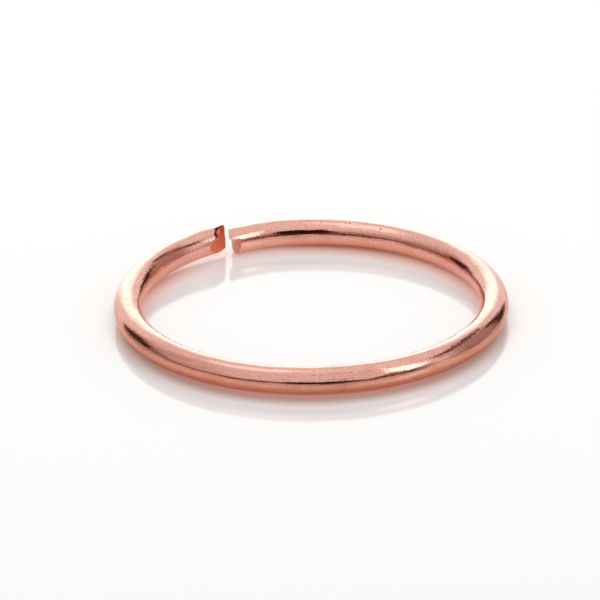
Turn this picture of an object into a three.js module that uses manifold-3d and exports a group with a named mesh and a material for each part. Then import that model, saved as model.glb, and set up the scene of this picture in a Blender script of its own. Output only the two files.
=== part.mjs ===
// A small plain hoop for the rim of the ear: one length of round rose gold wire bent into a ring.
// One end is cut square, the other is nipped to a chisel point that stands a little off the surface.
// Millimetres, +Z up. The hoop lies on its side on z = 0, with its middle over the origin.
import * as THREE from 'three';
import { mergeVertices } from 'three/addons/utils/BufferGeometryUtils.js';
import Module from 'manifold-3d';

const wasm = await Module();
wasm.setup();

const radians = THREE.MathUtils.degToRad;

// The wire, and the ring it is bent into
const WIRE_DIAMETER = 0.8;
const INNER_DIAMETER = 9.6;
const WIRE_RADIUS = WIRE_DIAMETER / 2;
const RING_RADIUS = (INNER_DIAMETER + WIRE_DIAMETER) / 2;

// The wire runs clockwise, seen from above, from its square end to its nipped end.
// Angles are anticlockwise from +X.
const SQUARE_END = radians(115.2);
const NIPPED_END = radians(117.7 - 360);
const WIRE_TURN = SQUARE_END - NIPPED_END;

// The last stretch towards the square end turns in a little from the ring
const TURN_START = radians(97);
const END_TURN_IN = 0.08;

// The last stretch towards the nipped end rises off the surface
const RISE_START = radians(205 - 360);
const END_RISE = 0.16;

// The nipped end: two cuts that meet in an upright ridge, which lies outside the wire's middle.
// Each cut is turned back from square by its own angle.
const RIDGE_OFFSET = 0.1;
const INNER_CUT_ANGLE = radians(58);
const OUTER_CUT_ANGLE = radians(50);
const CUT_MARGIN = 0.1;

// Facets around the wire and steps along it
const WIRE_SIDES = 24;
const WIRE_STEPS = 118;
const WELD_DISTANCE = 1e-4;

const ROSE_GOLD = new THREE.MeshStandardMaterial({ color: 0xedab94, roughness: 0.16, metalness: 1 });

// The middle line of the wire: an arc, whose turn in and whose rise each grow as the square of the way
// along their own stretch
class HoopPath extends THREE.Curve {
  getPoint(t, target = new THREE.Vector3()) {
    const angle = SQUARE_END - t * WIRE_TURN;
    const alongTurn = Math.max(0, (angle - TURN_START) / (SQUARE_END - TURN_START));
    const alongRise = Math.max(0, (RISE_START - angle) / (RISE_START - NIPPED_END));
    const radius = RING_RADIUS - END_TURN_IN * alongTurn ** 2;
    const height = WIRE_RADIUS + END_RISE * alongRise ** 2;
    return target.set(radius * Math.cos(angle), radius * Math.sin(angle), height);
  }
}

// A regular polygon that measures the wire's diameter across its flats, with one flat straight down
function wireSection() {
  const cornerRadius = WIRE_RADIUS / Math.cos(Math.PI / WIRE_SIDES);
  const corners = [];
  for (let side = 0; side < WIRE_SIDES; side += 1) {
    const angle = ((side + 0.5) * 2 * Math.PI) / WIRE_SIDES;
    corners.push(new THREE.Vector2(cornerRadius * Math.cos(angle), cornerRadius * Math.sin(angle)));
  }
  return new THREE.Shape(corners);
}

// The bent wire with both of its ends still square
function bentWire(path) {
  return new THREE.ExtrudeGeometry(wireSection(), { extrudePath: path, steps: WIRE_STEPS });
}

// What one blade takes away: a three-cornered prism that stands upright at the wire's end.
// side is -1 for the cut that faces the ring's middle and 1 for the one that faces out.
function nip(path, side, cutAngle) {
  const past = WIRE_RADIUS + CUT_MARGIN;
  const depth = past - side * RIDGE_OFFSET;
  const corners = [
    new THREE.Vector2(CUT_MARGIN, RIDGE_OFFSET - (side * CUT_MARGIN) / Math.tan(cutAngle)),
    new THREE.Vector2(-depth * Math.tan(cutAngle), side * past),
    new THREE.Vector2(CUT_MARGIN, side * past),
  ];
  const height = 2 * WIRE_DIAMETER;
  const prism = new THREE.ExtrudeGeometry(new THREE.Shape(corners), { depth: height, bevelEnabled: false });
  const end = path.getPoint(1);
  prism.translate(0, 0, end.z - height / 2);
  // x runs on along the wire past its end, y runs out from the ring's middle
  prism.rotateZ(NIPPED_END - Math.PI / 2);
  prism.translate(end.x, end.y, 0);
  return prism;
}

function toSolid(geometry) {
  geometry.deleteAttribute('normal');
  geometry.deleteAttribute('uv');
  const welded = mergeVertices(geometry, WELD_DISTANCE);
  return new wasm.Manifold(new wasm.Mesh({
    numProp: 3,
    vertProperties: new Float32Array(welded.getAttribute('position').array),
    triVerts: new Uint32Array(welded.getIndex().array),
  }));
}

function toGeometry(solid) {
  const { vertProperties, triVerts } = solid.getMesh();
  const geometry = new THREE.BufferGeometry();
  geometry.setAttribute('position', new THREE.BufferAttribute(vertProperties, 3));
  geometry.setIndex(new THREE.BufferAttribute(triVerts, 1));
  geometry.computeVertexNormals();
  return geometry;
}

function makeHoopWire() {
  const path = new HoopPath();
  const solid = toSolid(bentWire(path))
    .subtract(toSolid(nip(path, -1, INNER_CUT_ANGLE)))
    .subtract(toSolid(nip(path, 1, OUTER_CUT_ANGLE)));
  const wire = new THREE.Mesh(toGeometry(solid), ROSE_GOLD);
  wire.name = 'hoop_wire';
  return wire;
}

const hoop = new THREE.Group();
hoop.add(makeHoopWire());

export default hoop;
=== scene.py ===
"""A small rose gold hoop on a glossy white surface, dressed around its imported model.

The wire is modelled straight, with its long flat, the slow waves in its skin and its two cut ends, and is
then bent round into the hoop. Lengths are in metres and angles in radians, unless a comment says that
they are in millimetres or degrees.
"""

import math
from collections import namedtuple

import bpy
import numpy as np
from mathutils import Matrix, Vector


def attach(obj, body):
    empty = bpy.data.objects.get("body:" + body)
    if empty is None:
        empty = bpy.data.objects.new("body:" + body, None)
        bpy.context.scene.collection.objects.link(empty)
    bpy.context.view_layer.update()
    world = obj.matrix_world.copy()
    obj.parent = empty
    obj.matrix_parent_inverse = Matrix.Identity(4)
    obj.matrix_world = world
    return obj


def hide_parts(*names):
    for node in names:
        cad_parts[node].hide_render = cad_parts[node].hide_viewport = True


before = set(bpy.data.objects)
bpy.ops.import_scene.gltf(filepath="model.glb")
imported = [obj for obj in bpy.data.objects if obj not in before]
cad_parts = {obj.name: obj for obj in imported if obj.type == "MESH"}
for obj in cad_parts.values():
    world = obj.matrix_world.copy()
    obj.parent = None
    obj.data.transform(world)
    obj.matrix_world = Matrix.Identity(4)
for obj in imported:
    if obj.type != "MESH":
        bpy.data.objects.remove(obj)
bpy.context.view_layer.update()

MM = 0.001
UM = 0.000001

# The wire and the ring it is bent into. Angles round the ring are anticlockwise from +X.
WIRE_RADIUS = 0.4 * MM
RING_RADIUS = 5.2 * MM
SQUARE_END = math.radians(115.2)
NIPPED_END = math.radians(117.7 - 360)
WIRE_LENGTH = RING_RADIUS * (SQUARE_END - NIPPED_END)

# The last stretch towards the square end turns in, and the one towards the nipped end rises
TURN_START = math.radians(97)
END_TURN_IN = 0.08 * MM
RISE_START = math.radians(205 - 360)
END_RISE = 0.16 * MM

# The nipped end: two slanted cuts that meet in an upright ridge, in a tip that is squeezed and droops
RIDGE_OFFSET = 0.1 * MM
INNER_CUT_ANGLE = math.radians(58)
OUTER_CUT_ANGLE = math.radians(50)
RIDGE_BLUNTNESS = 0.03 * MM
TIP_STRETCH = 0.9 * MM
TIP_SQUEEZE = 0.06
TIP_DROOP = 0.06 * MM

# The camera, from the photograph: where the ring's middle falls in a frame of 600 by 600 pixels
PHOTO_SIZE = 600
RING_MIDDLE_X = 311.1
RING_MIDDLE_Y = 304.0
RING_RADIUS_PIXELS = 183.25
CAMERA_ELEVATION = math.radians(23.95)
CAMERA_ROLL = math.radians(-0.69)
CAMERA_DISTANCE = 150 * MM
NEAREST_SEEN = 1 * MM
FARTHEST_SEEN = 10.0
SENSOR_WIDTH = 36.0

# Rows and columns of the wire's surface. The rows crowd in the end stretches and at the rims of the faces.
ROWS_ALONG = 560
ROWS_AT_END = 70
ROWS_ON_FACE = 40
ROWS_AT_RIM = 10
COLUMNS_AROUND = 112
END_STRETCH = 1.6 * MM
END_CROWDING = 1.3
RIM_SHARE = 0.92


def smooth(low, high, value):
    """0 below low, 1 above high, and 3 t^2 - 2 t^3 between them, where t is the share of the way."""
    t = np.clip((value - low) / (high - low), 0, 1)
    return t * t * (3 - 2 * t)


def hump(value, middle, width):
    """A bell curve: exp(-((value - middle) / width)^2)."""
    return np.exp(-(((value - middle) / width) ** 2))


def turn(angle):
    """The same angle, brought between -pi and pi."""
    return (angle + np.pi) % (2 * np.pi) - np.pi


def soft_least(one, other, blend):
    """The lesser of two, with a rounded change-over: half of one + other less the square root of
    (one - other)^2 + blend^2."""
    return (one + other - np.sqrt((one - other) ** 2 + blend**2)) / 2


# Shape of the wire


def bend(along, out, up):
    """Points of the straight wire, carried round the hoop. The angle is SQUARE_END - along / RING_RADIUS.
    The ring's radius loses END_TURN_IN times the square of the share of the way from TURN_START to the
    square end, the height gains END_RISE times the square of the share from RISE_START to the nipped end,
    and x = radius cos(angle), y = radius sin(angle), z = height + up. Over the last TIP_STRETCH, up
    shrinks and sinks with the square of the share of the way to the tip."""
    angle = SQUARE_END - along / RING_RADIUS
    turned = np.clip((angle - TURN_START) / (SQUARE_END - TURN_START), 0, None)
    risen = np.clip((RISE_START - angle) / (RISE_START - NIPPED_END), 0, None)
    near_tip = np.clip(1 - (WIRE_LENGTH - along) / TIP_STRETCH, 0, 1) ** 2
    up = up * (1 - TIP_SQUEEZE * near_tip) - TIP_DROOP * near_tip
    radius = RING_RADIUS - END_TURN_IN * turned**2 + out
    height = WIRE_RADIUS + END_RISE * risen**2 + up
    return np.stack([radius * np.cos(angle), radius * np.sin(angle), height], axis=-1)


def nearest_way(out, up, corners):
    """Distance from each point of a face to a line of straight stretches between the given corners."""
    best = np.full(out.shape, np.inf)
    for (a, b), (c, d) in zip(corners, corners[1:]):
        share = np.clip(((out - a) * (c - a) + (up - b) * (d - b)) / ((c - a) ** 2 + (d - b) ** 2), 0, 1)
        best = np.minimum(best, np.hypot(out - a - share * (c - a), up - b - share * (d - b)))
    return best


# Splits in the nipped face, as places across the wire in millimetres: a thin one that runs down into
# the face from the top of its rim, the gape at its top, the gape at its foot, and one round the outer top
# corner. Each has a width, and a strength of up to 1. They are cut in as grooves, and their colour is
# painted dark as the shade that falls in them.
Split = namedtuple("Split", "width strength places")
SPLITS = (
    Split(0.018, 0.8, ((-0.09, 0.385), (-0.14, 0.365), (-0.18, 0.325), (-0.23, 0.28), (-0.27, 0.22))),
    Split(0.030, 0.8, ((-0.03, 0.40), (-0.10, 0.385))),
    Split(0.036, 1.0, ((-0.24, 0.265), (-0.275, 0.205))),
    Split(0.030, 0.7, ((0.02, 0.39), (0.09, 0.385), (0.10, 0.33))),
)
SPLIT_DEPTH = 0.03 * MM
# The splits' painted shade also darkens the skin just over the rim, but not where the rim falls away on the
# inner side
OVER_RIM = (0.08 * MM, 0.03 * MM)
OVER_RIM_SIDE = (-0.15 * MM, -0.08 * MM)


def split(out, up):
    """The sum of the splits, each its strength along its middle, falling off as a bell curve of its
    distance."""
    ways = [nearest_way(out, up, np.array(each.places) * MM) for each in SPLITS]
    return sum(each.strength * hump(way, 0, each.width * MM) for each, way in zip(SPLITS, ways))


# The square end's face: two shallow facets that meet in an upright edge, a tongue that is left standing at
# the top, and a heel that is left at the bottom
FACET_EDGE = -0.05 * MM
FACET_SLOPE = 0.12
TONGUE_LENGTH = 0.25 * MM
TONGUE_SLANT = 0.45
TONGUE_UNDERSIDE = (0.17 * MM, 0.22 * MM)
HEEL_LENGTH = 0.05 * MM
HEEL_TOP = 0.1 * MM
SQUARE_RIM = 0.02 * MM
# The skin's top is lifted a little along the last stretch before it
END_LIFT = 0.02 * MM
LIFT_STRETCH = (-0.1 * MM, 0.35 * MM)


def square_face(out, up):
    """How far the square end's face lies inside the wire's end: the facets' slope, less the tongue, which
    is longest on the side of the ring's middle, and less the heel."""
    facets = FACET_SLOPE * np.maximum(out - FACET_EDGE, 0)
    tongue = (TONGUE_LENGTH - TONGUE_SLANT * out) * smooth(*TONGUE_UNDERSIDE, up)
    heel = HEEL_LENGTH * smooth(HEEL_TOP, -WIRE_RADIUS, up)
    return facets - tongue - heel


# The nipped face is torn at its top, and its lower part stands forward of a shallow step
TORN_DEPTH = 0.06 * MM
TORN_START = 0.2 * MM
STEP_DEPTH = 0.02 * MM
STEP_SPAN = (-0.1 * MM, 0.05 * MM)
NIPPED_RIM = 0.03 * MM

# A lump of skin beside the split
LUMP_OUT = -0.12 * MM
LUMP_UP = 0.29 * MM
LUMP_WIDTH = 0.055 * MM
LUMP_HEIGHT = 0.09 * MM
LUMP_RISE = 0.05 * MM

# A swelling and a hollow on the nipped face's inner side, in millimetres: how far each one rises, at what
# height across the wire and how wide, and how far in it is full
Relief = namedtuple("Relief", "rise up width full")
RELIEFS = (
    Relief(0.12, 0.21, 0.09, -0.30),
    Relief(-0.06, -0.04, 0.18, -0.35),
)
RELIEF_START = -0.1 * MM


def lump(out, up):
    """1 in the middle of the lump, falling off as a bell curve across it and up it."""
    return hump(out, LUMP_OUT, LUMP_WIDTH) * hump(up, LUMP_UP, LUMP_HEIGHT)


def relief(out, up, part):
    """How far a swelling rises: a bell curve of the height, which grows inwards from RELIEF_START."""
    inwards = smooth(RELIEF_START, part.full * MM, out)
    return part.rise * MM * hump(up, part.up * MM, part.width * MM) * inwards


def nipped_face(out, up):
    """How far the nipped end's face lies inside the wire's end: the deeper of two slanted cuts, more at
    the torn top, above the step and in the splits, and less where the reliefs and the lump rise."""
    inner = (RIDGE_OFFSET - out) * math.tan(INNER_CUT_ANGLE)
    outer = (out - RIDGE_OFFSET) * math.tan(OUTER_CUT_ANGLE)
    cuts = -soft_least(-inner, -outer, RIDGE_BLUNTNESS)
    torn = TORN_DEPTH * smooth(TORN_START, WIRE_RADIUS, up) * smooth(RIDGE_OFFSET, 0, out)
    step = STEP_DEPTH * smooth(*STEP_SPAN, up)
    risen = sum(relief(out, up, part) for part in RELIEFS) + LUMP_RISE * lump(out, up)
    return cuts + torn + step + SPLIT_DEPTH * split(out, up) - risen


def rounding(share, radius):
    """How far a rounded rim falls back at a share of the wire's radius from its middle: a quarter circle
    of the given radius at the rim, and nothing inside it."""
    past = np.clip(share * WIRE_RADIUS - (WIRE_RADIUS - radius), 0, radius)
    return radius - np.sqrt(radius**2 - past**2)


# The long flat worn into the wire, in degrees: where along the ring it starts and ends, how long its ends
# taper, and between which directions across the wire it runs, 0 being out and 90 up
Flat = namedtuple("Flat", "start end taper low high")
WORN_FLAT = Flat(-143, -62, 12, 16, 55.5)
# How much of the way down to a straight chord the skin goes, how softly the flat's edges turn, and the
# farthest from the flat's middle that the chord is worked out
FLATNESS = 0.94
FLAT_BLEND = 1.0 * UM
CHORD_REACH = 1.2


def worn_flat(angle, around):
    """How far the flat lies below the round skin. A straight chord's distance from the wire's middle is
    r cos(half width) / cos(direction - middle direction), and the skin goes most of the way to it."""
    start, end, taper, low, high = np.radians(WORN_FLAT)
    window = smooth(start, start + taper, angle) * (1 - smooth(end - taper, end, angle))
    half = (high - low) / 2 * window
    off = np.clip(turn(around - (low + high) / 2), -CHORD_REACH, CHORD_REACH)
    chord = FLATNESS * WIRE_RADIUS * (np.cos(half) / np.cos(off) - 1)
    return soft_least(0, chord, FLAT_BLEND) + FLAT_BLEND / 2


# Slow waves in the skin: wavelength along the wire in millimetres, and height in thousandths of one. Each
# comes with 0, 1, 2 and 3 turns around the wire, and is stretched at random. They die out towards the
# underside, as a bell curve of this width.
Wave = namedtuple("Wave", "wavelength height")
WAVES = (Wave(6.0, 2.0), Wave(2.6, 1.2), Wave(1.3, 0.7), Wave(0.7, 0.3))
TURNS_AROUND = (0, 1, 2, 3)
WAVE_STRETCH = (0.8, 1.25)
WAVE_SEED = 20
UNDERSIDE_WIDTH = 0.5


def waves(along, around):
    """How far the wire's skin stands off a true cylinder: a sum of sines along the wire times cosines
    around it, with random phases, which dies out on the underside that the wire rests on."""
    random = np.random.default_rng(WAVE_SEED)
    height = np.zeros_like(along)
    for wave in WAVES:
        for turns in TURNS_AROUND:
            phase, drift = random.uniform(0, 2 * np.pi, 2)
            wavelength = wave.wavelength * random.uniform(*WAVE_STRETCH) * MM
            swell = np.sin(2 * np.pi * along / wavelength + phase) * np.cos(turns * around + drift)
            height += wave.height * UM * swell
    return height * (1 - hump(turn(around + np.pi / 2), 0, UNDERSIDE_WIDTH))


# How much of the wire's core shows on the square end's two facets, below its tongue, and how much of it the
# lump hides. The faces end a little inside the wire's skin.
INNER_FACET_CORE = 0.06
OUTER_FACET_CORE = 0.1
FACET_TOP = 0.18 * MM
LUMP_COVER = 0.9
FACE_SHARE = 0.985


def wire_grid():
    """The straight wire's surface as rows from the middle of the square end's face, over its rim, along
    the wire, over the other rim and in to the middle of the nipped face. Each row is a closed loop. Also
    how much painted shade the splits lay on each point and how much of the wire's core shows there, from 0
    to 1."""
    rim = np.sin(np.linspace(0, np.pi / 2, ROWS_AT_RIM))[1:]
    inner = np.linspace(0, RIM_SHARE, ROWS_ON_FACE)[1:]
    face = np.concatenate([inner, RIM_SHARE + (1 - RIM_SHARE) * rim])
    near = END_STRETCH * np.linspace(0, 1, ROWS_AT_END)[1:] ** END_CROWDING
    middle = np.linspace(END_STRETCH, WIRE_LENGTH - END_STRETCH, ROWS_ALONG)[1:-1]
    way = np.concatenate([near, middle, WIRE_LENGTH - near[::-1]]) / WIRE_LENGTH
    share = np.concatenate([face, np.ones(len(way)), face[::-1]])
    way = np.concatenate([np.zeros(len(face)), way, np.ones(len(face))])
    around = np.arange(COLUMNS_AROUND) * 2 * np.pi / COLUMNS_AROUND
    share, around = np.meshgrid(share, around, indexing="ij")
    way = np.broadcast_to(way[:, None], share.shape)
    out, up = share * WIRE_RADIUS * np.cos(around), share * WIRE_RADIUS * np.sin(around)
    start = square_face(out, up) + rounding(share, SQUARE_RIM)
    end = WIRE_LENGTH - nipped_face(out, up) - rounding(share, NIPPED_RIM)
    along = start + (end - start) * way
    facet = np.where(out > FACET_EDGE, OUTER_FACET_CORE, INNER_FACET_CORE) * (up < FACET_TOP)
    core = np.where(way == 1, 1 - LUMP_COVER * lump(out, up), facet) * (share < FACE_SHARE)
    over_rim = smooth(*OVER_RIM, end - along) * smooth(*OVER_RIM_SIDE, out)
    # The splits' painted shade on each point
    split_shade = split(out, up) * np.where(way == 1, 1, over_rim)
    height = worn_flat(SQUARE_END - along / RING_RADIUS, around) + waves(along, around)
    lift = END_LIFT * (1 - smooth(*LIFT_STRETCH, along)) * (1 + np.sin(around)) / 2
    out = out + height * share * np.cos(around)
    up = up + height * share * np.sin(around) + lift * share
    return along, out, up, split_shade, core


def closed_faces(rows):
    """Quads between neighbouring rows, and a fan of triangles at each end round a middle point."""
    count = COLUMNS_AROUND
    here = np.arange(count)
    after = (here + 1) % count
    first = np.arange(rows - 1)[:, None] * count
    quads = np.stack([first + here, first + after, first + count + after, first + count + here], -1)
    last = (rows - 1) * count
    start, end = np.full(count, rows * count), np.full(count, rows * count + 1)
    fans = [np.stack([start, after, here], -1), np.stack([end, last + here, last + after], -1)]
    return quads.reshape(-1, 4).tolist() + np.concatenate(fans).tolist()


def make_wire():
    """The wire as one closed mesh: the grid's points and a middle point for each face, bent round. It
    keeps each point's place on the straight wire, its share of the splits' painted shade and its share of
    core."""
    along, out, up, split_shade, core = wire_grid()
    middles = [(along[0].mean(), 0.0, 0.0), (along[-1].mean(), 0.0, 0.0)]
    straight = np.concatenate([np.stack([along, out, up], -1).reshape(-1, 3), middles])
    mesh = bpy.data.meshes.new("hoop_wire_surface")
    mesh.from_pydata(bend(*straight.T).tolist(), [], closed_faces(len(along)))
    mesh.attributes.new("straight", "FLOAT_VECTOR", "POINT")
    mesh.attributes["straight"].data.foreach_set("vector", straight.astype(np.float32).ravel())
    for name, values in (("split", split_shade), ("core", core)):
        with_middles = np.append(values.ravel(), (values[0, 0], values[-1, 0])).astype(np.float32)
        mesh.attributes.new(name, "FLOAT", "POINT")
        mesh.attributes[name].data.foreach_set("value", with_middles)
    mesh.polygons.foreach_set("use_smooth", np.ones(len(mesh.polygons), bool))
    mesh.update()
    wire = bpy.data.objects.new("polished_wire", mesh)
    bpy.context.scene.collection.objects.link(wire)
    return wire


# Shader maths


class Value:
    """A number socket in a node tree. Python's operators on it add the Math nodes."""

    def __init__(self, maker, socket):
        self.maker, self.socket = maker, socket

    def math(self, operation, *others):
        return self.maker.math(operation, self, *others)

    def __add__(self, other):
        return self.math("ADD", other)

    def __sub__(self, other):
        return self.math("SUBTRACT", other)

    def __rsub__(self, other):
        return self.maker.math("SUBTRACT", other, self)

    def __mul__(self, other):
        return self.math("MULTIPLY", other)

    def __truediv__(self, other):
        return self.math("DIVIDE", other)

    def __rtruediv__(self, other):
        return self.maker.math("DIVIDE", other, self)

    def __pow__(self, other):
        return self.math("POWER", other)

    def __rpow__(self, other):
        return self.maker.math("POWER", other, self)

    def __abs__(self):
        return self.math("ABSOLUTE")

    __radd__, __rmul__ = __add__, __mul__


class Maker:
    """Adds nodes to one tree."""

    def __init__(self, tree):
        self.tree = tree
        tree.nodes.clear()

    def add(self, kind, settings=None, **sockets):
        """A node of the given kind: its settings first, then a value or a link for each named socket.
        A socket with a number in its name, such as in_0, is found by its place."""
        node = self.tree.nodes.new(kind)
        for name, value in (settings or {}).items():
            setattr(node, name, value)
        for name, value in sockets.items():
            place = int(name[3:]) if name.startswith("in_") else name.replace("_", " ")
            self.put(node.inputs[place], value)
        return node

    def put(self, socket, value):
        """Links a value or an output to the socket, or sets a number, a colour or a vector on it."""
        if isinstance(value, Value):
            value = value.socket
        if isinstance(value, bpy.types.NodeSocket):
            self.tree.links.new(value, socket)
        else:
            socket.default_value = value

    def math(self, operation, *values):
        sockets = {f"in_{place}": value for place, value in enumerate(values)}
        return Value(self, self.add("ShaderNodeMath", {"operation": operation}, **sockets).outputs[0])

    def vector_math(self, operation, one, other):
        return self.add("ShaderNodeVectorMath", {"operation": operation}, in_0=one, in_1=other).outputs

    def times(self, one, other):
        """Two vectors or colours, multiplied place by place."""
        return self.vector_math("MULTIPLY", one, other)["Vector"]

    def dot(self, one, other):
        return Value(self, self.vector_math("DOT_PRODUCT", one, other)["Value"])

    def distance(self, one, other):
        return Value(self, self.vector_math("DISTANCE", one, other)["Value"])

    def step(self, value, low, high):
        """0 at low, 1 at high, with a smooth step between them. low may be the greater of the two."""
        node = self.add("ShaderNodeMapRange", {"interpolation_type": "SMOOTHSTEP"},
                        Value=value, From_Min=low, From_Max=high)
        return Value(self, node.outputs["Result"])

    def blend(self, share, one, other, kind="RGBA"):
        """The mix of one and other: one where share is 0, other where it is 1."""
        node = self.add("ShaderNodeMix", {"data_type": kind})
        pick = [socket for socket in node.inputs if socket.enabled]
        for socket, value in zip(pick, (share, one, other)):
            self.put(socket, value)
        return next(socket for socket in node.outputs if socket.enabled)

    def noise(self, vector, pattern):
        node = self.add("ShaderNodeTexNoise", None, Vector=vector, Scale=pattern.scale,
                        Detail=pattern.layers, Roughness=pattern.roughness)
        return Value(self, node.outputs["Fac"])

    def attribute(self, name):
        return self.add("ShaderNodeAttribute", {"attribute_name": name}).outputs


# Materials

ROSE_GOLD = (0.96, 0.555, 0.47, 1)
ROSE_GOLD_DEEP = (0.87, 0.425, 0.335, 1)
COPPER_CORE = (0.97, 0.30, 0.15, 1)
COPPER_TORN = (0.80, 0.12, 0.05, 1)
# The painted shade in the splits
SPLIT_SHADE = (0.05, 0.015, 0.01, 1)

# Patterns in the finish: how fine each one is per metre, how many finer layers it has, and how strong
# these are
Pattern = namedtuple("Pattern", "scale layers roughness")
LINES = Pattern(17000, 0, 0.5)
GRAIN = Pattern(13000, 0.6, 0.45)
CLOUDS = Pattern(1500, 3, 0.55)
TORN = Pattern(7000, 2, 0.5)
SCRATCHES = Pattern(14000, 0.6, 0.5)
FINE = Pattern(24000, 1, 0.5)

# Lines are drawn out along the wire, scratches across it
ALONG_WIRE = (0.1, 1, 1)
ACROSS_WIRE = (1, 0.12, 0.12)

# The height of the finish, and each pattern's share of it
FINISH_HEIGHT = 12 * UM
LINE_SHARE = 0.3
GRAIN_SHARE = 0.25
TORN_SHARE = 0.4
SCRATCH_SHARE = 0.35
PIT_SHARE = 1.2

# The roughness of the polish, and what clouds, cut faces and pits add to it
POLISH = 0.10
CLOUDED = 0.05
CUT_ROUGH = 0.3
PIT_ROUGH = 0.3

# Each pair gives where a smooth step starts and ends
CUT_EDGE = (0, 0.05)
CLOUD_EDGE = (0.3, 0.7)
CLOUD_TINT_EDGE = (0.4, 0.75)
SPECKLE_EDGE = (0.4, 0.62)
TORN_EDGE = (0.5, 0.8)
DARK_EDGE = (0.25, 0.75)

# How much of the deeper tint is speckle and how much of the speckle is fine, how much less metallic the
# bare core is, and how dark the floor of a pit is
SPECKLE_SHARE = 0.6
FINE_SHARE = 0.6
BARE_DULLNESS = 0.6
PIT_DARKNESS = 0.8

# Pits in the skin: where round the ring and in which direction across the wire, in degrees, and their
# width in millimetres
Pit = namedtuple("Pit", "angle around width")
PITS = (
    Pit(-73.7, 77.5, 0.035),
    Pit(-83.6, 98, 0.03),
    Pit(67.6, 220.5, 0.03),
    Pit(65.7, 122, 0.035),
    Pit(76.8, 112.5, 0.03),
    Pit(78.2, 114, 0.025),
)
PIT_FLOOR = 0.3

# Stretches with more scratches across the wire, from one angle round the ring to another, in degrees
SCRATCHED = ((136, 158), (30, 52))
SCRATCHED_ELSEWHERE = 0.15
SCRATCH_TAPER = 0.4 * MM


def pits(make, straight):
    """1 on the floor of a pit, falling to 0 at its rim."""
    pitted = 0
    for pit in PITS:
        angle, around = math.radians(pit.angle), math.radians(pit.around)
        along = (SQUARE_END - angle) * RING_RADIUS
        middle = (along, WIRE_RADIUS * math.cos(around), WIRE_RADIUS * math.sin(around))
        width = pit.width * MM
        pitted = pitted + make.step(make.distance(straight, middle), width, width * PIT_FLOOR)
    return pitted


def scratched(make, along):
    """How strong the scratches are, along the wire: 1 more in each scratched stretch than elsewhere."""
    strength = SCRATCHED_ELSEWHERE
    for start, end in SCRATCHED:
        near, far = (RING_RADIUS * (SQUARE_END - math.radians(angle)) for angle in (end, start))
        begun = make.step(along, near - SCRATCH_TAPER, near)
        strength = strength + begun * make.step(along, far + SCRATCH_TAPER, far)
    return strength


def rose_gold():
    """Polished rose gold: drawn lines along the wire, fine grain, pits, and a roughness that wanders. The
    cut faces show the redder core, and the splits carry painted shade."""
    material = bpy.data.materials.new("rose_gold_polish")
    material.use_nodes = True
    make = Maker(material.node_tree)
    straight = make.attribute("straight")["Vector"]
    core = Value(make, make.attribute("core")["Fac"])
    places = make.add("ShaderNodeSeparateXYZ", None, Vector=straight).outputs
    along, up = Value(make, places["X"]), Value(make, places["Z"])
    lines = make.noise(make.times(straight, ALONG_WIRE), LINES)
    grain = make.noise(straight, GRAIN)
    clouds = make.noise(straight, CLOUDS)
    torn = make.noise(straight, TORN)
    fine = make.noise(straight, FINE)
    scratches = make.noise(make.times(straight, ACROSS_WIRE), SCRATCHES) * scratched(make, along)
    pitted = pits(make, straight)
    height = lines * LINE_SHARE + grain * GRAIN_SHARE + torn * core * TORN_SHARE
    height = height + scratches * SCRATCH_SHARE - pitted * PIT_SHARE
    bump = make.add("ShaderNodeBump", None, Strength=1.0, Distance=FINISH_HEIGHT, Height=height)
    cut = make.step(core, *CUT_EDGE)
    roughness = make.step(clouds, *CLOUD_EDGE) * CLOUDED + POLISH + cut * CUT_ROUGH + pitted * PIT_ROUGH
    speckle = make.step(fine * FINE_SHARE + grain * (1 - FINE_SHARE), *SPECKLE_EDGE)
    deep = speckle * SPECKLE_SHARE + make.step(clouds, *CLOUD_TINT_EDGE) * (1 - SPECKLE_SHARE)
    skin = make.blend(deep, ROSE_GOLD, ROSE_GOLD_DEEP)
    # The core is redder towards its torn top
    bare = make.blend(make.step(torn + up / MM, *TORN_EDGE), COPPER_CORE, COPPER_TORN)
    # The splits' painted shade
    split_shade = make.step(Value(make, make.attribute("split")["Fac"]), *DARK_EDGE)
    darkened = make.math("MAXIMUM", split_shade, pitted * PIT_DARKNESS)
    colour = make.blend(darkened, make.blend(core, skin, bare), SPLIT_SHADE)
    metallic = 1 - cut * BARE_DULLNESS * (1 - split_shade)
    shader = make.add("ShaderNodeBsdfPrincipled", None, Base_Color=colour, Metallic=metallic,
                      Roughness=roughness, Normal=bump.outputs["Normal"])
    make.add("ShaderNodeOutputMaterial", None, Surface=shader.outputs[0])
    return material


WHITE = (1, 1, 1, 1)

# Painted shade on the surface right beside the wire, inside the ring and outside it: inside, a warm
# painted glow as of the light the wire throws there; outside, a darker painted shadow
CONTACT_SHADE_INSIDE = (1.0, 0.72, 0.64, 1)
CONTACT_SHADE_OUTSIDE = (0.62, 0.49, 0.44, 1)
CONTACT_REACH = 0.75 * MM
CONTACT_EDGE = 0.2 * MM
# The painted shade lies a little to the front of the wire, and not under the end that stands off the
# surface
CONTACT_FORWARD = 0.25 * MM
CLEAR_OF_TIP = (0.5 * MM, 3 * MM)

# Painted reflection tints: the surface takes them on only where the wire mirrors it, inside the ring
# and outside it
MIRRORED_INSIDE = (1.0, 0.93, 0.88, 1)
MIRRORED_OUTSIDE = (0.90, 0.70, 0.57, 1)

SURFACE_GLOW = 0.22
GLOSS_ROUGHNESS = 0.08
GLOSS_IOR = 1.7
# The most that the camera sees mirrored, as a share of the light
MOST_MIRRORING = 0.22


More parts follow.
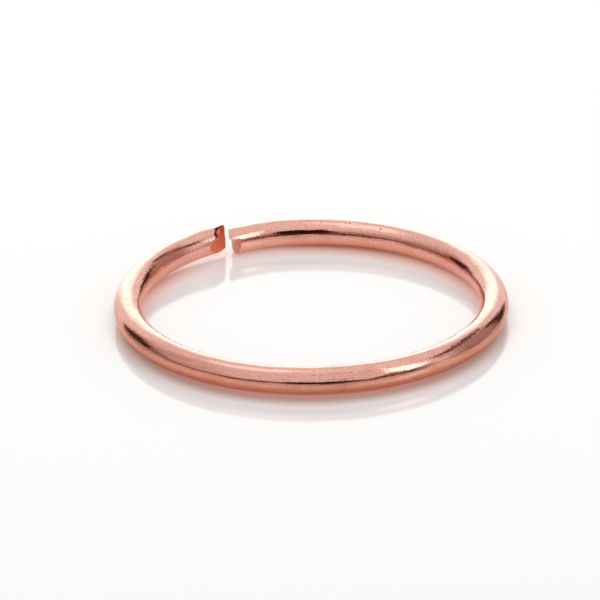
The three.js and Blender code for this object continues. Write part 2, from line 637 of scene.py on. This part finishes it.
def glossy_white():
    """The white surface: a translucent white, which glows a little, under a clear gloss that mirrors the
    hoop. Right beside the wire it is painted darker and warmer: a painted shadow outside the ring, and
    painted warm light from the wire inside it."""
    material = bpy.data.materials.new("glossy_white_surface")
    material.use_nodes = True
    make = Maker(material.node_tree)
    rays = make.add("ShaderNodeLightPath").outputs
    place = make.add("ShaderNodeTexCoord").outputs["Object"]
    off = make.distance(place, (0, -CONTACT_FORWARD, 0)) - RING_RADIUS
    tip = (RING_RADIUS * math.cos(NIPPED_END), RING_RADIUS * math.sin(NIPPED_END), 0)
    beside = make.step(abs(off), CONTACT_REACH, 0) * make.step(make.distance(place, tip), *CLEAR_OF_TIP)
    outside = make.step(off, -CONTACT_EDGE, CONTACT_EDGE)
    # Painted shadow and painted warm light from the wire, on the surface beside it
    contact_shade = make.blend(beside, WHITE, make.blend(outside, CONTACT_SHADE_INSIDE, CONTACT_SHADE_OUTSIDE))
    in_wire = make.blend(outside, MIRRORED_INSIDE, MIRRORED_OUTSIDE)
    # The surface shows the painted reflection tints only in the wire's mirror
    glow = make.times(contact_shade, make.blend(rays["Is Glossy Ray"], WHITE, in_wire))
    white = make.add("ShaderNodeBsdfPrincipled", None, Base_Color=glow, Emission_Color=glow,
                     Emission_Strength=SURFACE_GLOW, Roughness=1.0, Specular_IOR_Level=0.0)
    gloss = make.add("ShaderNodeBsdfAnisotropic", None, Color=WHITE, Roughness=GLOSS_ROUGHNESS)
    mirroring = Value(make, make.add("ShaderNodeFresnel", None, IOR=GLOSS_IOR).outputs[0])
    # Seen from low down, the surface stays white, and doesn't mirror the dim foot of the tent
    beyond = make.math("MAXIMUM", mirroring - MOST_MIRRORING, 0)
    mirroring = mirroring - beyond * Value(make, rays["Is Camera Ray"])
    mixed = make.add("ShaderNodeMixShader", None,
                     Fac=mirroring, in_1=white.outputs[0], in_2=gloss.outputs[0])
    make.add("ShaderNodeOutputMaterial", None, Surface=mixed.outputs[0])
    return material


# Surroundings

# What the wire mirrors: patches of light and dark round the tent. azimuth and elevation are of the
# patch's middle, width and height its full size and soft the width of its edge, all in degrees. A round
# patch is an ellipse, the others are rectangles.
Patch = namedtuple("Patch", "azimuth elevation width height soft level round", defaults=[False])
PATCHES = (
    Patch(-98, 10, 60, 26, 24, 0.20),
    Patch(-12, 20, 20, 46, 32, 0.82),
    Patch(95, 14, 88, 66, 14, 0.88),
    Patch(95, 10, 32, 42, 14, 1.85),
    Patch(155, 74, 34, 22, 5, 1.25),
    Patch(-47, 38, 16, 28, 16, 0.75),
    Patch(-30.5, 35, 23, 36, 6, 2.0, round=True),
    Patch(26, 20, 38, 36, 24, 0.38),
    Patch(27, 42, 50, 9, 7, 0.12),
    Patch(46, 11, 10, 34, 5, 0.03),
    Patch(49, 3, 16, 16, 5, 0.03),
    Patch(154.5, 6, 23, 27, 5, 0.03),
    Patch(148, 3, 20, 16, 5, 0.05),
    Patch(-95, 5, 130, 12, 4, 0.08),
    Patch(-84, 25, 42, 34, 2, 0.01, round=True),
)
# A patch shows only on its own side of the tent
OWN_SIDE = (0.05, 0.1)

# The tent's level at its foot, how much it gains upwards, and the sine of the elevation where it is full
FOOT_LEVEL = 0.22
LEVEL_GAIN = 0.64
FULL_HEIGHT = 0.95

# The tent is lit warmly where it is dim and whitely where it is bright
DIM_LIGHT = (1.0, 0.57, 0.48, 1)
BRIGHT_LIGHT = (1.0, 0.99, 0.975, 1)
EVEN_LEVEL = 0.62


def direction(azimuth, elevation):
    """A direction from degrees: (cos e cos a, cos e sin a, sin e)."""
    a, e = math.radians(azimuth), math.radians(elevation)
    return Vector((math.cos(e) * math.cos(a), math.cos(e) * math.sin(a), math.sin(e)))


def patch_mask(make, view, patch):
    """1 inside a flat panel that faces the hoop, 0 outside it, from the view direction's tangents."""
    middle = direction(patch.azimuth, patch.elevation)
    across = direction(patch.azimuth + 90, 0)
    upward = middle.cross(across)
    sizes = (patch.width, patch.height, patch.soft)
    half_width, half_height, soft = (math.tan(math.radians(size / 2)) for size in sizes)
    ahead = make.dot(view, middle)
    aside = make.dot(view, across) / ahead
    above = make.dot(view, upward) / ahead
    mask = make.step(ahead, *OWN_SIDE)
    if patch.round:
        reach = ((aside / half_width) ** 2 + (above / half_height) ** 2) ** 0.5
        return mask * make.step(reach, 1 + soft / half_height, 1 - soft / half_height)
    mask = mask * make.step(abs(aside), half_width + soft, half_width - soft)
    return mask * make.step(abs(above), half_height + soft, half_height - soft)


def make_surroundings():
    """A white tent that dims towards the surface, with the patches on it. Whatever scatters light, such
    as the surface, gets an even light from it, and the camera sees it white."""
    world = bpy.data.worlds.new("tent")
    bpy.context.scene.world = world
    world.use_nodes = True
    # Lights are told apart by the kind of ray, which only works where rays aren't aimed at the world
    world.cycles.sampling_method = "NONE"
    make = Maker(world.node_tree)
    rays = make.add("ShaderNodeLightPath").outputs
    view = make.add("ShaderNodeTexCoord").outputs["Generated"]
    level = make.step(make.dot(view, (0, 0, 1)), 0, FULL_HEIGHT) * LEVEL_GAIN + FOOT_LEVEL
    for patch in PATCHES:
        level = Value(make, make.blend(patch_mask(make, view, patch), level, patch.level, "FLOAT"))
    white = make.math("MAXIMUM", make.step(level, 0, 1), rays["Is Diffuse Ray"])
    white = make.math("MAXIMUM", white, rays["Is Camera Ray"])
    level = make.blend(rays["Is Diffuse Ray"], level, EVEN_LEVEL, "FLOAT")
    level = make.blend(rays["Is Camera Ray"], level, 1.0, "FLOAT")
    light = make.blend(white, DIM_LIGHT, BRIGHT_LIGHT)
    back = make.add("ShaderNodeBackground", None, Color=light, Strength=level)
    make.add("ShaderNodeOutputWorld", None, Surface=back.outputs[0])


def make_floor():
    """One flat square, a metre to each side of the hoop."""
    half = 1.0
    corners = [(-half, -half, 0), (half, -half, 0), (half, half, 0), (-half, half, 0)]
    mesh = bpy.data.meshes.new("surface")
    mesh.from_pydata(corners, [], [(0, 1, 2, 3)])
    mesh.materials.append(glossy_white())
    floor = bpy.data.objects.new("surface", mesh)
    bpy.context.scene.collection.objects.link(floor)


def make_camera():
    """Looks at the ring's middle from the photograph's angle, turned so that the middle falls where the
    photograph has it. The lens gives the ring its radius in pixels at the camera's distance."""
    pixels_to_angle = RING_RADIUS / (RING_RADIUS_PIXELS * CAMERA_DISTANCE)
    aside = (RING_MIDDLE_X - PHOTO_SIZE / 2) * pixels_to_angle
    below = (RING_MIDDLE_Y - PHOTO_SIZE / 2) * pixels_to_angle
    data = bpy.data.cameras.new("camera")
    data.sensor_width = SENSOR_WIDTH
    data.lens = SENSOR_WIDTH / (PHOTO_SIZE * pixels_to_angle)
    data.clip_start = NEAREST_SEEN
    data.clip_end = FARTHEST_SEEN
    camera = bpy.data.objects.new("camera", data)
    bpy.context.scene.collection.objects.link(camera)
    back = Vector((0, -math.cos(CAMERA_ELEVATION), math.sin(CAMERA_ELEVATION)))
    ring_middle = Vector((0, 0, WIRE_RADIUS))
    place = Matrix.Translation(ring_middle + back * CAMERA_DISTANCE)
    level_camera = Matrix.Rotation(math.pi / 2 - CAMERA_ELEVATION, 4, "X")
    aim = Matrix.Rotation(aside, 4, "Y") @ Matrix.Rotation(below, 4, "X")
    roll = Matrix.Rotation(CAMERA_ROLL, 4, "Z")
    camera.matrix_world = place @ level_camera @ aim @ roll
    bpy.context.scene.camera = camera


make_camera()
wire = make_wire()
wire.data.materials.append(rose_gold())
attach(wire, "root")
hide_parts("hoop_wire")
make_floor()
make_surroundings()
bpy.context.scene.view_settings.view_transform = "Standard"
